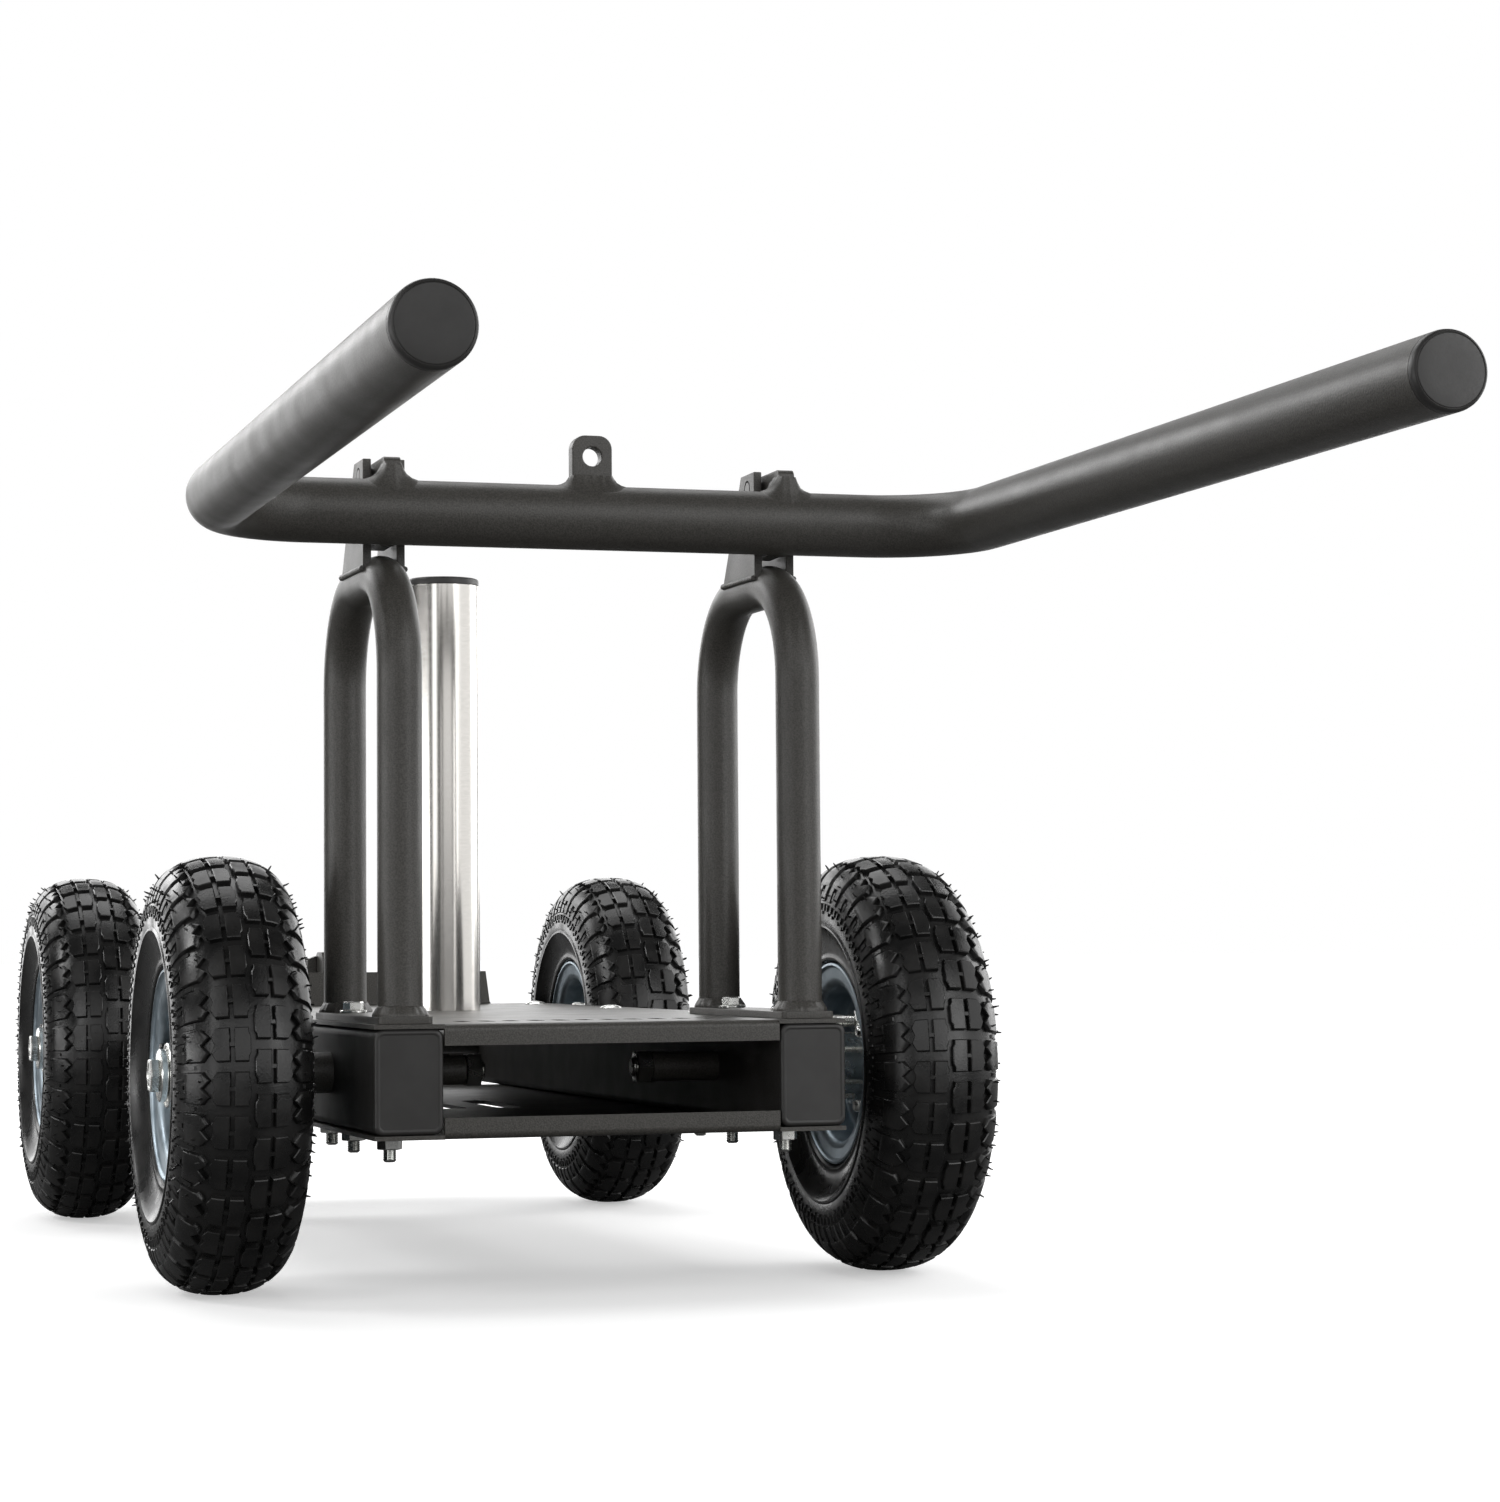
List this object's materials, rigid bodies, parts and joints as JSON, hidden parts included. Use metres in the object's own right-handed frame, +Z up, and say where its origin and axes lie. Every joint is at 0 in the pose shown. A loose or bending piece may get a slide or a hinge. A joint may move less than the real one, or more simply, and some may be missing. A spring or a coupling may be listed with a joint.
{
  "type": "four-wheeled push and pull training cart",
  "caption": "Low steel cart on pneumatic wheels with a flat deck, an upright post for weight plates, tube hoops and a U-shaped push handle that pivots up and over.",
  "frame": {"origin": "centre of the bounding box at floor level, where the tyres touch", "axes": "+Z up, -Y toward the handle end, +X to the right of someone standing behind the cart and looking towards +Y"},
  "size_m": [0.5032, 1.508, 0.508],
  "materials": {
    "powder_coat": "fine-textured satin powder coat",
    "cap_plastic": "moulded satin plastic",
    "tyre_rubber": "matt black rubber",
    "rim_zinc": "zinc-plated pressed steel",
    "bolt_zinc": "bright zinc-plated steel",
    "pin_steel": "blackened steel",
    "post_steel": "brushed stainless steel"
  },
  "bodies": {
    "frame": {"left_rail": "powder_coat", "right_rail": "powder_coat", "deck_plate": "powder_coat", "bottom_plate": "powder_coat", "rear_cross_tube": "powder_coat", "rear_tow_eye": "powder_coat", "weight_post": "post_steel", "post_cap": "cap_plastic", "rail_cap_front_left": "cap_plastic", "hoop_bolt_left_front": "bolt_zinc", "axle_bolt_front_left": "bolt_zinc", "axle_nut_front_left": "bolt_zinc", "rail_cap_rear_left": "cap_plastic", "hoop_bolt_left_rear": "bolt_zinc", "axle_bolt_rear_left": "bolt_zinc", "axle_nut_rear_left": "bolt_zinc", "hoop_left": "powder_coat", "hoop_base_left": "powder_coat", "ear_left_outer": "powder_coat", "ear_left_inner": "powder_coat", "pivot_pin_left": "pin_steel", "rail_cap_front_right": "cap_plastic", "hoop_bolt_right_front": "bolt_zinc", "axle_bolt_front_right": "bolt_zinc", "axle_nut_front_right": "bolt_zinc", "rail_cap_rear_right": "cap_plastic", "hoop_bolt_right_rear": "bolt_zinc", "axle_bolt_rear_right": "bolt_zinc", "axle_nut_rear_right": "bolt_zinc", "hoop_right": "powder_coat", "hoop_base_right": "powder_coat", "ear_right_outer": "powder_coat", "ear_right_inner": "powder_coat", "pivot_pin_right": "pin_steel"},
    "handle": {"handle_bar": "powder_coat", "eye_tab": "powder_coat", "lug_left": "powder_coat", "lug_right": "powder_coat", "handle_plug_left": "cap_plastic", "handle_plug_right": "cap_plastic"},
    "wheel_front_left": {"tyre_front_left": "tyre_rubber", "rim_outer_front_left": "rim_zinc", "rim_inner_front_left": "rim_zinc", "hub_front_left": "bolt_zinc"},
    "wheel_front_right": {"tyre_front_right": "tyre_rubber", "rim_outer_front_right": "rim_zinc", "rim_inner_front_right": "rim_zinc", "hub_front_right": "bolt_zinc"},
    "wheel_rear_left": {"tyre_rear_left": "tyre_rubber", "rim_outer_rear_left": "rim_zinc", "rim_inner_rear_left": "rim_zinc", "hub_rear_left": "bolt_zinc"},
    "wheel_rear_right": {"tyre_rear_right": "tyre_rubber", "rim_outer_rear_right": "rim_zinc", "rim_inner_rear_right": "rim_zinc", "hub_rear_right": "bolt_zinc"}
  },
  "joints": [
    {"name": "handle_pivot", "type": "hinge", "parent": "frame", "child": "handle", "pos_m": [0, -0.097, 0.4837], "axis": [-1, 0, 0], "range_deg": [0, 180]},
    {"name": "wheel_spin_front_left", "type": "hinge", "parent": "frame", "child": "wheel_front_left", "pos_m": [-0.209, -0.0453, 0.13], "axis": [1, 0, 0], "continuous": true},
    {"name": "wheel_spin_front_right", "type": "hinge", "parent": "frame", "child": "wheel_front_right", "pos_m": [0.209, -0.0453, 0.13], "axis": [1, 0, 0], "continuous": true},
    {"name": "wheel_spin_rear_left", "type": "hinge", "parent": "frame", "child": "wheel_rear_left", "pos_m": [-0.209, 0.6047, 0.13], "axis": [1, 0, 0], "continuous": true},
    {"name": "wheel_spin_rear_right", "type": "hinge", "parent": "frame", "child": "wheel_rear_right", "pos_m": [0.209, 0.6047, 0.13], "axis": [1, 0, 0], "continuous": true}
  ]
}
